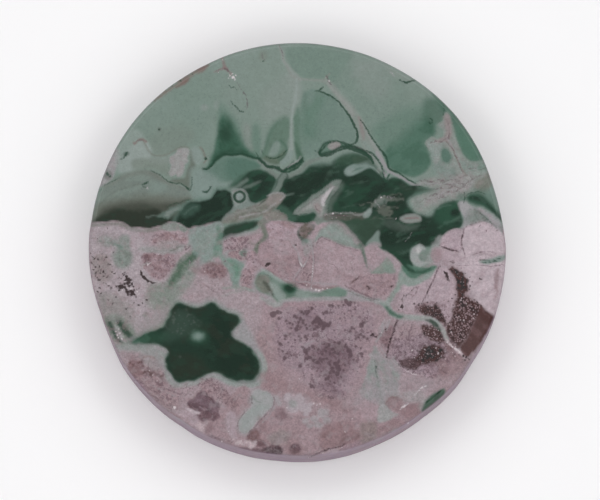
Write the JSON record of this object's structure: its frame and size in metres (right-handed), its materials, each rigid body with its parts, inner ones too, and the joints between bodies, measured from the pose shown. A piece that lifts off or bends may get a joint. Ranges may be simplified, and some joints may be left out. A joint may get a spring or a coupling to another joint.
{
  "type": "polished variscite disc",
  "caption": "Round polished disc of variscite with a flat back, a straight side and a gently crowned face with a rolled edge.",
  "frame": {"origin": "middle of the flat back, where the disc rests", "axes": "+Z along the disc's axis, out of its polished face; +Y towards the green side of the pattern; +X to the right of someone who looks down on the face with +Y away from them"},
  "size_m": [0.06, 0.06, 0.0104],
  "materials": {
    "polished_stone": "polished, with green, mint and dark green variscite in a pinkish mauve and brown matrix"
  },
  "bodies": {
    "root": {"variscite_disc": "polished_stone"}
  },
  "joints": []
}
